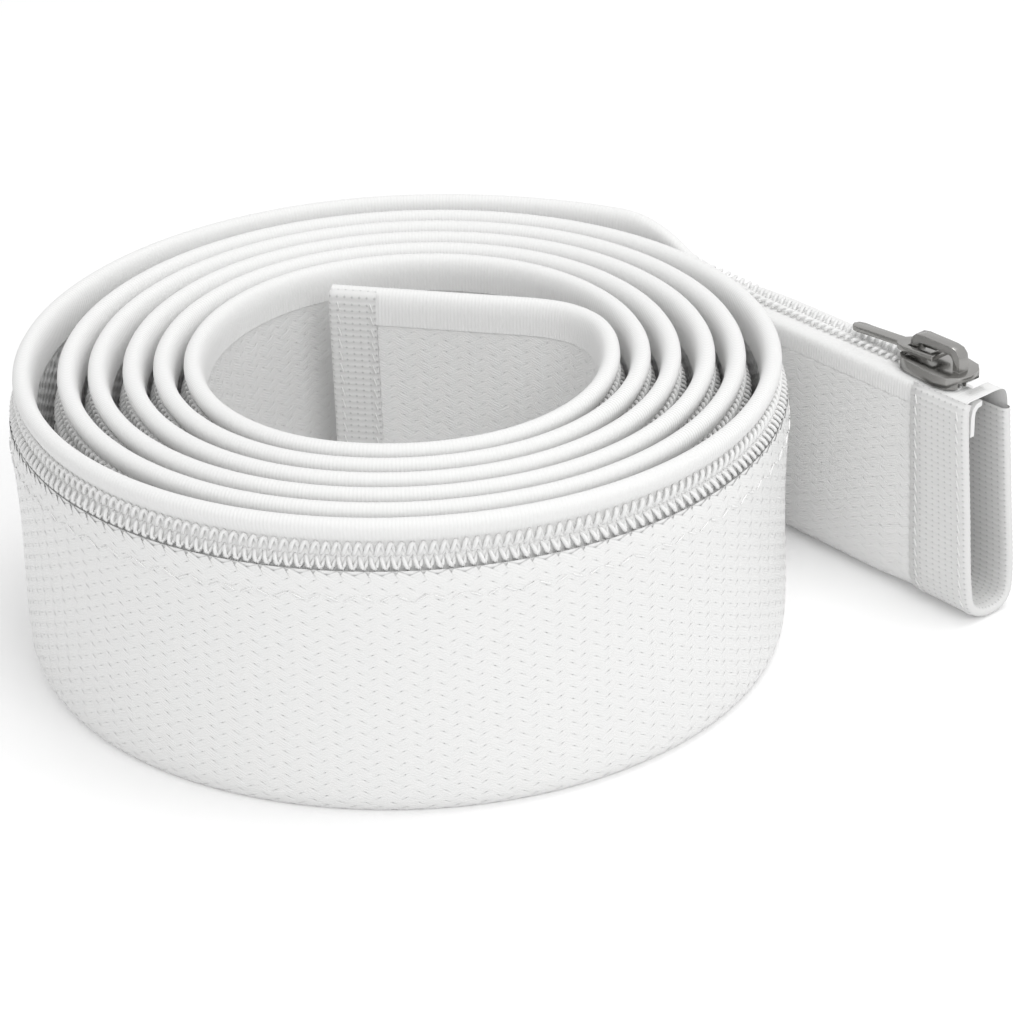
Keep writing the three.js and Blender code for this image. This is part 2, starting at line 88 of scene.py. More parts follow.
def spiral(turns):
    """Radius falls by one pitch a turn, times a slight oval, plus a loose start, less where turns part."""
    angle = SPIRAL_START + 2 * np.pi * turns
    oval = 1 + OVAL * np.cos(2 * (angle - OVAL_ANGLE))
    radius = (OUTER_RADIUS - TURN_PITCH * turns) * oval
    radius = radius + LOOSE_OUTER_TURN * (1 - smooth(turns / LOOSE_TURNS))
    for at, opening in PARTED_TURNS:
        inside = turns - at
        off = np.abs(inside - np.round(inside)) / PARTED_HALF_WIDTH
        radius = radius - np.where((inside > 0.5) & (off < 1), opening * np.cos(off * np.pi / 2) ** 2, 0)
    return np.stack([radius * np.cos(angle), radius * np.sin(angle)], -1)


def strip_path():
    """Straight chord, round bend, spiral outwards, tail arc and straight tail, one after the other."""
    last, before = spiral(np.array([TURNS, TURNS - 1 / STEPS_PER_TURN]))
    heading = math.atan2(*(last - before)[::-1])
    centre = last + BEND_RADIUS * np.array([-math.sin(heading), math.cos(heading)])
    turn = heading + np.linspace(BEND_ANGLE, 0, BEND_POINTS)
    bend = centre + BEND_RADIUS * np.stack([np.sin(turn), -np.cos(turn)], -1)
    run = np.linspace(CHORD, 0, CHORD_POINTS)[:-1, None]
    chord = bend[0] + run * [math.cos(turn[0]), math.sin(turn[0])]
    roll = spiral(np.linspace(TURNS, 0, SPIRAL_POINTS))[1:]
    start = roll[-1]
    radius = (TAIL_LINE - start[1]) / (1 - math.sin(SPIRAL_START))
    middle = np.array([start[0] - radius * math.cos(SPIRAL_START), TAIL_LINE - radius])
    angle = np.linspace(SPIRAL_START, np.pi / 2, ARC_POINTS)[1:]
    arc = middle + radius * np.stack([np.cos(angle), np.sin(angle)], -1)
    run_out = np.linspace(middle[0], TAIL_END, TAIL_POINTS)[1:]
    tail = np.stack([run_out, np.full_like(run_out, TAIL_LINE)], -1)
    return np.concatenate([chord, bend, roll, arc, tail]), len(chord) + len(bend) + len(roll)


def travelled(points):
    """Distance along a line of points: the running sum of its steps."""
    return np.concatenate([[0], np.cumsum(np.linalg.norm(np.diff(points, axis=0), axis=1))])


# %% The line itself, its directions, and how far the sleeve has opened at each point
raw, tail_index = strip_path()
distance = travelled(raw)
LENGTH, TAIL_FROM = distance[-1], distance[tail_index]
s_line = np.linspace(0, LENGTH, LINE_POINTS)
line = np.stack([np.interp(s_line, distance, raw[:, i]) for i in (0, 1)], -1)
margin = ((SMOOTHING_REACH, SMOOTHING_REACH), (0, 0))
padded = np.pad(line, margin, mode="reflect", reflect_type="odd")
line = np.mean([padded[i:i + len(line)] for i in range(2 * SMOOTHING_REACH + 1)], axis=0)
along = np.gradient(line, s_line, axis=0)
along /= np.linalg.norm(along, axis=1, keepdims=True)
outward = np.stack([-along[:, 1], along[:, 0]], -1)
opened = np.where(s_line > TAIL_FROM, smooth((line[:, 0] - OPENING_START) / OPENING_LENGTH), 0)
print(f"strip {LENGTH:.0f} mm long, of which the tail is {LENGTH - TAIL_FROM:.0f} mm")


# %% [markdown]
# A surface is drawn in the strip's own terms: distance along it, distance across it and height. One function
# turns those into a point of the room. Near both raw ends the fold lifts by a hair, because the binding goes
# under it, and at the mouth the foot of the cut reaches a little further out than its top.

# %% From the strip to the room
LIFT, LIFT_FROM, LIFT_LENGTH, FOLD_HEIGHT, MOUTH_HEIGHT = 0.65, 11.4, 9, 6, 42


def at(s, values):
    """The value of a table along the strip at distance s, one column at a time."""
    return np.stack([np.interp(s, s_line, values[:, i]) for i in range(values.shape[1])], -1)


def place(s, section):
    """Point on the line, plus across times outward, plus the cut's lean.
    Height is the section's second column."""
    s = np.asarray(s, float)
    across, height = section[..., 0], section[..., 1]
    past = (s - np.clip(s, 0, LENGTH))[..., None]
    forward = at(s, along)
    at_end = np.minimum(s, LENGTH - s)
    lift = LIFT * (1 - smooth((at_end - LIFT_FROM) / LIFT_LENGTH)) * np.clip(1 - height / FOLD_HEIGHT, 0, 1)
    lean = CUT_LEAN * smooth(1 - (LENGTH - s) / CUT_LEAN_LENGTH) * (1 - height / MOUTH_HEIGHT)
    flat = at(s, line) + past * forward + across[..., None] * at(s, outward) + lean[..., None] * forward
    return (np.concatenate([flat, (height + lift)[..., None]], -1) + shift) * MM


print("the raw edge at the mouth stands at, m:", place(LENGTH, np.array([0.0, MOUTH_HEIGHT])).round(4))


# %% [markdown]
# Cut across, the sleeve is a closed loop: a narrow teardrop where it is rolled, and a tall open U at the
# mouth. A few points give each shape, a spline runs through them, and the shapes between are mixtures.

# %% Sections: a few points, a spline through them, and a table of the shapes between
SPAN_POINTS = 24


def spline(points, count):
    """A smooth line through the points: on each span a cubic, whose slope at a point is half the step from
    the point before to the point after.
    The curve is then read at equal steps of its own length."""
    p = np.pad(np.asarray(points, float), ((1, 1), (0, 0)), mode="reflect", reflect_type="odd")
    t = np.linspace(0, 1, SPAN_POINTS, endpoint=False)[:, None, None]
    a, b, c, d = p[:-3], p[1:-2], p[2:-1], p[3:]
    spans = b + t / 2 * (c - a) + t**2 / 2 * (2*a - 5*b + 4*c - d) + t**3 / 2 * (3*b - a - 3*c + d)
    curve = np.concatenate([spans.transpose(1, 0, 2).reshape(-1, 2), p[-2:-1]])
    far = travelled(curve)
    even = np.linspace(0, far[-1], count)
    return np.stack([np.interp(even, far, curve[:, i]) for i in (0, 1)], -1)


def section_table(rolled, mouth, count=129, steps=21):
    """Row by row, a spline through the mixture of the rolled and the open points."""
    return np.stack([spline((1 - m) * np.array(rolled) + m * np.array(mouth), count)
                     for m in np.linspace(0, 1, steps)])


def read(table, s, w):
    """Bilinear: the four nearest entries of the table, weighted by how near they are."""
    r = np.interp(s, s_line, opened) * (table.shape[0] - 1)
    c = np.clip(w, 0, 1) * (table.shape[1] - 1)
    r0 = np.minimum(r.astype(int), table.shape[0] - 2)
    c0 = np.minimum(c.astype(int), table.shape[1] - 2)
    fr, fc = (r - r0)[..., None], (c - c0)[..., None]
    low = table[r0, c0] * (1 - fc) + table[r0, c0 + 1] * fc
    high = table[r0 + 1, c0] * (1 - fc) + table[r0 + 1, c0 + 1] * fc
    return low * (1 - fr) + high * fr


NEARBY = 0.004


def beside(table, s, w, out):
    """The section moved out along its normal, which is the step along it turned by a quarter."""
    step = read(table, s, np.clip(w, 0, 1) + NEARBY) - read(table, s, np.clip(w, 0, 1) - NEARBY)
    step /= np.linalg.norm(step, axis=-1, keepdims=True)
    normal = np.stack([step[..., 1], -step[..., 0]], -1)
    return read(table, s, w) + np.asarray(out)[..., None] * normal


# %% The wall's section: a slim drop where it is rolled, and a tall U at the mouth
WALL_ROLLED = [(-2.1, 46.0), (-1.75, 25.5), (-2.1, 6), (-1.5, 1.6), (0, 0),
               (1.5, 1.6), (2.1, 6), (1.75, 25.5), (2.1, 38), (1.9, 43.2)]
WALL_MOUTH = [(-5.3, 36.9), (-5.4, 21), (-5.3, 7.5), (-4.1, 2), (0.2, 0),
              (4.4, 1.4), (5.7, 7), (5.5, 21), (5.3, 33), (5.3, 36.9)]
wall_table = section_table(WALL_ROLLED, WALL_MOUTH)
WALL = travelled(wall_table[0])[-1]
print(f"the wall is {WALL:.1f} mm from seam to seam round the fold")

# %% [markdown]
# Every new surface is a grid of points, so its faces follow from the grid's size alone. Each piece rides on a
# body of the frame, so it moves when that body's joint does.

# %% Meshes from arrays
def grid_faces(rows, columns, wrap=False):
    """Each quad joins a grid point to its neighbours along, across and diagonally."""
    index = np.arange(rows * columns).reshape(rows, columns)
    index = np.concatenate([index, index[:, :1]], 1) if wrap else index
    return np.stack([index[:-1, :-1], index[1:, :-1], index[1:, 1:], index[:-1, 1:]], -1).reshape(-1, 4)


def add_piece(name, points, faces, material, uv=None, body="sleeve"):
    """A smooth mesh with its own flat coordinates, riding on a body of the frame."""
    mesh = bpy.data.meshes.new(name)
    mesh.from_pydata(points.reshape(-1, 3), [], faces)
    mesh.polygons.foreach_set("use_smooth", np.ones(len(faces), bool))
    if uv is not None:
        layer = mesh.uv_layers.new(name="weave")
        layer.uv.foreach_set("vector", uv.reshape(-1, 2)[faces.ravel()].ravel())
    mesh.materials.append(material)
    piece = bpy.data.objects.new(name, mesh)
    bpy.context.collection.objects.link(piece)
    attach(piece, body)
    print(f"{name}: {len(faces) * 2} triangles")
    return piece


# %% [markdown]
# The finishes are all white except the metal. The braid is smooth plastic thread, the tapes and bindings are
# matt woven ribs, and the slider is worn nickel. Bumps too fine to model are worked out in the shader from
# each piece's own flat coordinates, so they turn and move with the piece. An image would do the same, but a
# formula stays sharp at any distance.

# %% Helpers for the finishes
def finish(name, color, roughness, metallic=0.0):
    """A plain surface, and its nodes for anything added."""
    material = bpy.data.materials.new(name)
    material.use_nodes = True
    shader = material.node_tree.nodes["Principled BSDF"]
    shader.inputs["Base Color"].default_value = (*color, 1)
    shader.inputs["Roughness"].default_value = roughness
    shader.inputs["Metallic"].default_value = metallic
    print("finish:", name)
    return material, material.node_tree, shader


def calculate(tree, operation, a, b=0.0):
    """One step of arithmetic in the shader. a and b are sockets or numbers."""
    node = tree.nodes.new("ShaderNodeMath")
    node.operation = operation
    for socket, value in zip(node.inputs, (a, b)):
        if isinstance(value, (int, float)):
            socket.default_value = value
        else:
            tree.links.new(value, socket)
    return node.outputs[0]


def ripple(tree, coordinate, period):
    """The size of a sine, which touches nought once in each period."""
    turned = calculate(tree, "MULTIPLY", coordinate, math.pi / period)
    return calculate(tree, "ABSOLUTE", calculate(tree, "SINE", turned))


def flat_coordinates(tree):
    """The piece's own flat coordinates, as two sockets."""
    uv = tree.nodes.new("ShaderNodeUVMap")
    uv.uv_map = "weave"
    split = tree.nodes.new("ShaderNodeSeparateXYZ")
    tree.links.new(uv.outputs[0], split.inputs[0])
    return split.outputs[0], split.outputs[1]


def bump(tree, shader, height, distance):
    """Tilts the surface as if it rose by height times distance."""
    node = tree.nodes.new("ShaderNodeBump")
    node.inputs["Distance"].default_value = distance
    node.inputs["Strength"].default_value = 1.0
    tree.links.new(height, node.inputs["Height"])
    tree.links.new(node.outputs[0], shader.inputs["Normal"])


def shade(tree, shader, amount, dark, light):
    """Base colour from dark, where amount is 0, to light, where it is 1."""
    node = tree.nodes.new("ShaderNodeMix")
    node.data_type = "RGBA"
    node.inputs["A"].default_value, node.inputs["B"].default_value = (*dark, 1), (*light, 1)
    tree.links.new(amount, node.inputs["Factor"])
    tree.links.new(node.outputs["Result"], shader.inputs["Base Color"])


# %% The braid's finishes: painted shade in the gaps between strands, fine filaments on the strands
# The grey is painted shade, standing for the shadow in the gaps between the strands.
WHITE, PAINTED_GAP_SHADE, GAP_SHADE_SHARPNESS, WEAVE_DEPTH = (0.86, 0.86, 0.855), (0.66, 0.66, 0.66), 2.2, 0.12 * MM
FILAMENT_PERIOD, FILAMENT_DEPTH = 0.25, 0.03 * MM

braid_material, tree, shader = finish("braid_weave", WHITE, 0.5)
x, y = flat_coordinates(tree)
cells = calculate(tree, "MULTIPLY", calculate(tree, "COSINE", x), calculate(tree, "COSINE", y))
clear_of_gap_shade = calculate(tree, "MULTIPLY", calculate(tree, "ADD", cells, 1), GAP_SHADE_SHARPNESS)
# Painted shade: the wall is darkened to grey in the gaps between the strands.
shade(tree, shader, clear_of_gap_shade, PAINTED_GAP_SHADE, WHITE)
bump(tree, shader, cells, WEAVE_DEPTH)

strand_material, tree, shader = finish("braid_strands", WHITE, 0.42)
x, _ = flat_coordinates(tree)
bump(tree, shader, ripple(tree, x, FILAMENT_PERIOD), FILAMENT_DEPTH)

# %% The zipper's and the thread's finishes
TAPE_WHITE, COIL_WHITE, THREAD_WHITE = (0.86, 0.86, 0.855), (0.87, 0.87, 0.865), (0.88, 0.88, 0.875)
TAPE_RIB, TAPE_RIB_DEPTH = 0.6, 0.02 * MM

tape_material, tree, shader = finish("ribbed_tape", TAPE_WHITE, 0.75)
x, _ = flat_coordinates(tree)
ribs = calculate(tree, "SINE", calculate(tree, "MULTIPLY", x, 2 * math.pi))
bump(tree, shader, ribs, TAPE_RIB_DEPTH)

coil_material, _, _ = finish("nylon_coil", COIL_WHITE, 0.5)
thread_material, _, _ = finish("thread", THREAD_WHITE, 0.6)

# %% The bindings' finish: small holes where a column meets the gap between two ribs, with painted shade in them
# The grey is painted shade, standing for the shadow in the small holes.
BINDING_WHITE, PAINTED_HOLE_SHADE = (0.77, 0.77, 0.765), (0.5, 0.5, 0.5)
COLUMN_PITCH, RIB_PITCH, HOLE_SHARPNESS, HOLE_DEPTH = 1.3, 1.1, 1.2, 0.06 * MM

binding_material, tree, shader = finish("binding_ribs", BINDING_WHITE, 0.75)
x, y = flat_coordinates(tree)
off_hole = calculate(tree, "ADD", ripple(tree, x, COLUMN_PITCH), ripple(tree, y, RIB_PITCH))
clear_of_hole_shade_and_dip = calculate(tree, "MULTIPLY", off_hole, HOLE_SHARPNESS)
clear_of_hole_shade_and_dip.node.use_clamp = True
# Painted shade: the binding is darkened to grey in its small holes, and the same mask sinks them a little.
shade(tree, shader, clear_of_hole_shade_and_dip, PAINTED_HOLE_SHADE, BINDING_WHITE)
bump(tree, shader, clear_of_hole_shade_and_dip, HOLE_DEPTH)

# %% The metal's finish
nickel_material, _, _ = finish("nickel", (0.33, 0.325, 0.315), 0.24, 1.0)

# %% [markdown]
# The wall itself is one sheet from seam to seam. Between the strands it shows through as small marks of
# painted shade.

# %% The braid's wall
STRAND_ALONG, STRAND_UP = 2.0, 1.06
ALONG_COUNT, WALL_COUNT = 1367, 41


def weave_coordinates(s, w):
    """Half a period of the braid is pi in both directions."""
    return np.stack([s / STRAND_ALONG * np.pi, w * WALL / STRAND_UP * np.pi], -1)


s, w = np.meshgrid(np.linspace(0, LENGTH, ALONG_COUNT), np.linspace(0, 1, WALL_COUNT), indexing="ij")
wall_points = place(s, read(wall_table, s, w))
wall = add_piece("braid_wall", wall_points, grid_faces(*s.shape), braid_material,
                 weave_coordinates(s, w))
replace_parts(wall, "braided_sleeve")


# %% [markdown]
# The strands are flat bundles that cross at about 28 degrees each way and pass over and under one another.
# They are real ribbons on the walls that show: the outermost turn, the tail and the inside of the eye. On the
# turns between, which lie wall to wall, the wall's own pattern is enough.

# %% The braid's strands
STRAND_HALF_WIDTH, STRAND_RISE, STRAND_BULGE, STEPS, RIBBON = 0.88, 0.045, 0.035, 2, 5
STRAND_OUT = 0.15


def strands(name, s0, s1, w0, w1):
    """Lines that climb one row for each column, both ways. Their height is a cosine that peaks where they
    pass over, and their cross-section is a low arch."""
    low, high = math.ceil(w0 * WALL / STRAND_UP), math.floor(w1 * WALL / STRAND_UP)
    row = np.linspace(low, high, (high - low) * STEPS + 1)[None, :, None]
    q = np.linspace(-1, 1, RIBBON)[None, None, :]
    tilt = math.atan2(STRAND_UP, STRAND_ALONG)
    pieces = []
    for hand in (1, -1):
        first = (s0 / STRAND_ALONG - hand * row.min()) / 2 - (high - low) / 2
        last = (s1 / STRAND_ALONG - hand * row.min()) / 2 + (high - low) / 2
        number = np.arange(math.floor(min(first, last)), math.ceil(max(first, last)) + 1)[:, None, None]
        s = (hand * row + 2 * number) * STRAND_ALONG - hand * q * STRAND_HALF_WIDTH * math.sin(tilt)
        v = row * STRAND_UP + q * STRAND_HALF_WIDTH * math.cos(tilt)
        rise = hand * STRAND_RISE * np.cos(np.pi * row) + STRAND_BULGE * (1 - q * q) + 0 * number
        s, v, rise = np.broadcast_arrays(s, v, rise)
        w = np.clip(v / WALL, 0, 1)
        points = place(s, beside(wall_table, s, w, STRAND_OUT + rise))
        one = grid_faces(s.shape[1], s.shape[2])
        faces = (one[None] + (np.arange(len(number)) * s.shape[1] * s.shape[2])[:, None, None]).reshape(-1, 4)
        middle = s.reshape(-1)[faces].mean(1)
        faces = faces[(middle > s0) & (middle < s1)]
        uv = np.stack(np.broadcast_arrays((q + 1) / 2, row + 0 * number), -1)
        pieces.append((points.reshape(-1, 3), faces if hand > 0 else faces[:, ::-1], uv.reshape(-1, 2)))
    count = len(pieces[0][0])
    points, uv = (np.concatenate([p[i] for p in pieces]) for i in (0, 2))
    faces = np.concatenate([pieces[0][1], pieces[1][1] + count])
    used, faces = np.unique(faces, return_inverse=True)
    return add_piece(name, points[used], faces.reshape(-1, 4), strand_material, uv[used])


def spiral_distance(turns):
    """How far along the strip a number of turns in from the tail's start lies."""
    on_spiral = distance[tail_index - SPIRAL_POINTS:tail_index]
    return float(np.interp(-turns, -np.linspace(TURNS, 0, SPIRAL_POINTS), on_spiral))


# %% Where the strands lie: from one distance to another, and from one share of the wall to another
CLEAR_OF_TAIL_BINDING, CLEAR_OF_INNER_BINDING, CHORD_SHOWN = 11.5, 8.0, 110
OUTER_TURNS_SHOWN, EYE_TURNS_SHOWN = 1.05, 1.02

strands("strands_outer", spiral_distance(OUTER_TURNS_SHOWN), TAIL_FROM, 0.5, 1)
strands("strands_tail", TAIL_FROM, LENGTH - CLEAR_OF_TAIL_BINDING, 0, 1)
strands("strands_eye", CLEAR_OF_INNER_BINDING, spiral_distance(TURNS - EYE_TURNS_SHOWN), 0, 0.5)
strands("strands_chord", CLEAR_OF_INNER_BINDING, CHORD_SHOWN, 0.5, 1)


# %% [markdown]
# Two ribbed tapes carry the zipper. Each is sewn along the braid's slit, turns over its shoulder and meets
# the other under the coils. In the roll the zipper lies over on the outer face, and on the tail it turns
# upright, so the tapes are drawn across and above the chain, and the chain's own tilt does the rest.

# %% The zipper's tapes
CHAIN_TILT, CHAIN_DEPTH, CHAIN_OFFSET, MOUTH_CHAIN_DEPTH = math.radians(72), 5.9, 0.5, 1.3
SLEEVE_HEIGHT, TAPE_COUNT = 51, 25


def chain_point(m, across, above):
    """Across and above the chain, turned by its tilt, to across and above the strip."""
    tilt = CHAIN_TILT * (1 - m)
    top = (SLEEVE_HEIGHT * (1 - m) + MOUTH_HEIGHT * m) - (CHAIN_DEPTH * (1 - m) + MOUTH_CHAIN_DEPTH * m)
    return np.stack([CHAIN_OFFSET * (1 - m) + across * np.cos(tilt) + above * np.sin(tilt),
                     top - across * np.sin(tilt) + above * np.cos(tilt)], -1)


def chain_table(rolled, mouth, count=33, steps=21):
    """Row by row, a spline through points given across and above the chain, mixed from rolled to open."""
    rolled, mouth = np.array(rolled), np.array(mouth)
    return np.stack([spline(chain_point(m, *((1 - m) * rolled + m * mouth).T), count)
                     for m in np.linspace(0, 1, steps)])


TAPES = {
    -1: ([(0, 0), (-1.9, 0.1), (-2.8, 1.1), (-4.2, 1.95),
          (-5.5, 1.5), (-5.8, 0), (-4.3, -1.45), (-0.8, -2.9)],
         [(0, 0), (-2.2, 0), (-3.0, 0), (-3.6, 0), (-4.2, -0.1), (-4.9, -0.5), (-5.3, -1.6), (-5.4, -4.0)]),
    1: ([(0, 0), (1.3, 0), (2.1, -0.1), (4.0, -0.4), (7, -1.0)],
        [(0, 0), (2.6, 0), (4.4, -0.4), (5.1, -2.0), (5.2, -4.5)]),
}


def tape(name, side):
    """The spline from the slit, over the shoulder and down to the seam, carried along the strip."""
    table = chain_table(*TAPES[side])
    width = travelled(table[0])[-1]
    s, w = np.meshgrid(np.linspace(0, LENGTH, ALONG_COUNT), np.linspace(0, 1, TAPE_COUNT), indexing="ij")
    faces = grid_faces(*s.shape) if side > 0 else grid_faces(*s.shape)[:, ::-1]
    flat = np.stack([s / TAPE_RIB, w * width], -1)
    return add_piece(name, place(s, read(table, s, w)), faces, tape_material, flat)


tape_inner = tape("tape_inner", -1)
tape_outer = tape("tape_outer", 1)
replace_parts(tape_inner, "zipper_tape_inner")
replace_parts(tape_outer, "zipper_tape_outer")

# %% [markdown]
# The coils are two spirals of nylon wire whose loops mesh. Each is a round wire carried along a flattened
# helix, with the loops of one side half a step ahead of the other's. The wire dips where the loops meet, so
# that the heads stand as two rows of beads beside a trough.

# %% The zipper's coils
COIL_PITCH, WIRE, LOOP_POINTS, WIRE_SIDES = 1.6, 0.36, 8, 5
COIL_MIDDLE, COIL_REACH, COIL_ABOVE, COIL_HEIGHT = 1.05, 0.85, 0.62, 0.36
TROUGH_DIP, TROUGH_WIDTH, COIL_FROM, COIL_SHORT = 0.62, 1.15, 1, 4


def coil(name, side, s0, s1):
    """A helix, wide across the chain and low above it. The wire's ring stands square to the helix."""
    loops = int((s1 - s0) / COIL_PITCH)
    phase = np.linspace(0, 2 * np.pi * loops, loops * LOOP_POINTS + 1)
    s = s0 + COIL_PITCH * (phase / (2 * np.pi) + (0.5 if side > 0 else 0))
    across = side * (COIL_MIDDLE + COIL_REACH * np.cos(phase))
    above = COIL_ABOVE + COIL_HEIGHT * np.sin(phase) - TROUGH_DIP * np.exp(-(across / TROUGH_WIDTH) ** 2)
    centre = place(s, chain_point(np.interp(s, s_line, opened), across, above))
    forward = np.gradient(centre, axis=0)
    forward /= np.linalg.norm(forward, axis=1, keepdims=True)
    lead = np.concatenate([at(s, along), np.zeros((len(s), 1))], -1)
    lead -= (lead * forward).sum(1, keepdims=True) * forward
    lead /= np.linalg.norm(lead, axis=1, keepdims=True)
    third = np.cross(forward, lead)
    ring = np.linspace(0, 2 * np.pi, WIRE_SIDES, endpoint=False)[:, None]
    round_wire = np.cos(ring) * lead[:, None] + np.sin(ring) * third[:, None]
    points = centre[:, None] + WIRE * MM * round_wire
    return add_piece(name, points, grid_faces(*points.shape[:2], wrap=True), coil_material)


coil_inner = coil("coil_inner", -1, COIL_FROM, LENGTH - COIL_SHORT)
coil_outer = coil("coil_outer", 1, COIL_FROM, LENGTH - COIL_SHORT)
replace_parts(coil_inner, "zipper_coil_inner")
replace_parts(coil_outer, "zipper_coil_outer")

# %% [markdown]
# Both raw ends are bound with a folded ribbed tape, so that the braid can't fray. It is one surface: out
# along the braid, round the raw edge and back inside, with its ribs as a cosine down the wall.

# %% The bindings
BINDING_ROLLED = [(-1.2, 50.2), (-2.15, 47.5), (-1.75, 25.5), *WALL_ROLLED[2:]]
BINDING_MOUTH = [(-4.7, 40.7), (-5.5, 37.5), (-5.4, 21), *WALL_MOUTH[2:]]
binding_table = section_table(BINDING_ROLLED, BINDING_MOUTH)
BINDING_WIDTH, INNER_BINDING_WIDTH, RIB_RISE, BINDING_COUNT = 11.4, 8.0, 0.06, 385
WALL_MIDDLE, SECTION_MARGIN = -0.35, 1
HAIRPIN_SHORT = np.array([1, 0.99, 0.7, 0.35, 0.09, 0, -0.03, -0.044, -0.03, 0, 0.09, 0.35, 0.7, 1])
HAIRPIN_OUT = np.array([0.22, 0.42, 0.5, 0.5, 0.5, 0.45, 0.2, WALL_MIDDLE,
                        -0.9, -1.2, -1.3, -1.3, -1.3, -1.3])


def binding(name, at_tail, node, width):
    """Distance from the raw edge, as a share of the width, and distance out of the wall trace a hairpin.
    Ribs add a small cosine."""
    w = np.linspace(0, 1, BINDING_COUNT)
    short, out, w = np.broadcast_arrays(HAIRPIN_SHORT[:, None] * width, HAIRPIN_OUT[:, None], w[None])
    s = LENGTH - short if at_tail else short
    ribs = RIB_RISE * np.cos(2 * np.pi * w * WALL / RIB_PITCH) * np.sign(out - WALL_MIDDLE)
    section = beside(binding_table, np.clip(s, SECTION_MARGIN, LENGTH - SECTION_MARGIN), w, out + ribs)
    faces = grid_faces(*s.shape) if at_tail else grid_faces(*s.shape)[:, ::-1]
    flat = np.stack([short, w * WALL], -1)
    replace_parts(add_piece(name, place(s, section), faces, binding_material, flat), node)


binding("binding_tail", True, "end_binding_tail", BINDING_WIDTH)
binding("binding_inner", False, "end_binding_inner", INNER_BINDING_WIDTH)

# %% [markdown]
# The sewing thread shows as short raised stitches: two rows on each binding, and a zigzag row where the
# outer tape is sewn to the braid. A stitch is a small spindle, thin where the thread dives into the cloth.

# %% Stitches
SPINDLE_ALONG, SPINDLE_ROUND, SPINDLE_SIDES = np.array([0, 0.25, 0.75, 1]), np.array([0.3, 1, 1, 0.3]), 6
ANY_DIRECTION = [0.31, 0.17, 0.94]


def stitches(name, start, end, radius):
    """Spindles from start to end: four rings of six points, thin at both ends."""
    lead = end - start
    length = np.linalg.norm(lead, axis=1, keepdims=True)
    lead = lead / length
    side = np.cross(lead, ANY_DIRECTION)
    side /= np.linalg.norm(side, axis=1, keepdims=True)
    other = np.cross(lead, side)
    ring = np.linspace(0, 2 * np.pi, SPINDLE_SIDES, endpoint=False)
    circle = np.cos(ring)[:, None] * side[:, None] + np.sin(ring)[:, None] * other[:, None]
    reached = (SPINDLE_ALONG[:, None] * length[:, None])[..., None] * lead[:, None, None]
    points = start[:, None, None] + reached + (radius * MM * SPINDLE_ROUND)[:, None, None] * circle[:, None]
    rings = len(SPINDLE_ALONG)
    one = grid_faces(rings, SPINDLE_SIDES, wrap=True)
    faces = (one[None] + rings * SPINDLE_SIDES * np.arange(len(start))[:, None, None]).reshape(-1, 4)
    return add_piece(name, points, faces, thread_material)


def row_of_stitches(name, s0, s1, w0, w1, out, radius):
    """Each stitch runs from one point of the wall to another, given as distance along and share across."""
    start = place(s0, beside(binding_table, s0, w0, out))
    end = place(s1, beside(binding_table, s1, w1, out))
    return stitches(name, start, end, radius)


# %% The bindings' rows, down the wall
STITCH_STEP, STITCH_LENGTH, STITCH_SLANT, STITCH_OUT, STITCH_RADIUS = 2.2, 1.7, 0.5, 0.6, 0.12
EDGE_ROW, TAIL_SEAM_ROW, INNER_SEAM_ROW, ROW_FROM = 1.3, 10.2, 7.0, 0.02

down = np.arange(ROW_FROM, 1 - ROW_FROM, STITCH_STEP / WALL)
for name, s_row in (("stitches_tail_edge", LENGTH - EDGE_ROW), ("stitches_tail_seam", LENGTH - TAIL_SEAM_ROW),
                    ("stitches_inner_edge", EDGE_ROW), ("stitches_inner_seam", INNER_SEAM_ROW)):
    row = np.full_like(down, s_row)
    row_of_stitches(name, row, row + STITCH_SLANT, down, down + STITCH_LENGTH / WALL,
                    STITCH_OUT, STITCH_RADIUS)

# %% The outer tape's zigzag row, along the strip
SEAM_STEP, SEAM_STITCH, SEAM_SWING, SEAM_DOWN = 2.6, 1.9, 0.45, 4.2
SEAM_MARGIN, SEAM_OUT, SEAM_RADIUS = 14, 0.33, 0.15

s_seam = np.arange(SEAM_MARGIN, LENGTH - SEAM_MARGIN, SEAM_STEP)
swing = np.where(np.arange(len(s_seam)) % 2, SEAM_SWING, -SEAM_SWING) / WALL
seam_w = 1 - SEAM_DOWN / WALL
row_of_stitches("stitches_seam", s_seam, s_seam + SEAM_STITCH, seam_w + swing, seam_w - swing,
                SEAM_OUT, SEAM_RADIUS)

# %% [markdown]
# The braid is one sheet of cloth, folded along its foot, and everything else on the sleeve is sewn to it.

# %% [markdown]
# The slider and its pull are cast metal with soft edges. Their solids have sharp ones, so a copy of each is
# merged, shaded smooth and bevelled. The bevel only takes edges that turn sharply, and leaves round ends be.

# %% The metal
BEVEL, BEVEL_STEPS, SHARP, JOIN_DISTANCE = 0.22, 3, math.radians(35), 0.001


def rounded(name, node, body):
    """A copy of the solid with its triangles joined, smooth where flats meet gently, bevelled elsewhere."""
    mesh = frame["nodes"][node].data.copy()
    joined = bmesh.new()
    joined.from_mesh(mesh)
    bmesh.ops.remove_doubles(joined, verts=joined.verts, dist=JOIN_DISTANCE * MM)
    joined.to_mesh(mesh)
    joined.free()
    mesh.polygons.foreach_set("use_smooth", np.ones(len(mesh.polygons), bool))
    mesh.materials.clear()
    mesh.materials.append(nickel_material)
    piece = bpy.data.objects.new(name, mesh)
    bpy.context.collection.objects.link(piece)
    rounding = piece.modifiers.new("rounding", "BEVEL")
    rounding.width, rounding.segments, rounding.limit_method = BEVEL * MM, BEVEL_STEPS, "ANGLE"
    rounding.angle_limit, rounding.harden_normals = SHARP, True
    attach(piece, body)
    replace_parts(piece, node)
    print(f"{name}: {len(mesh.polygons)} triangles before its bevel")


rounded("slider_metal", "slider_body", "slider")
rounded("pull_metal", "pull_tab", "pull")

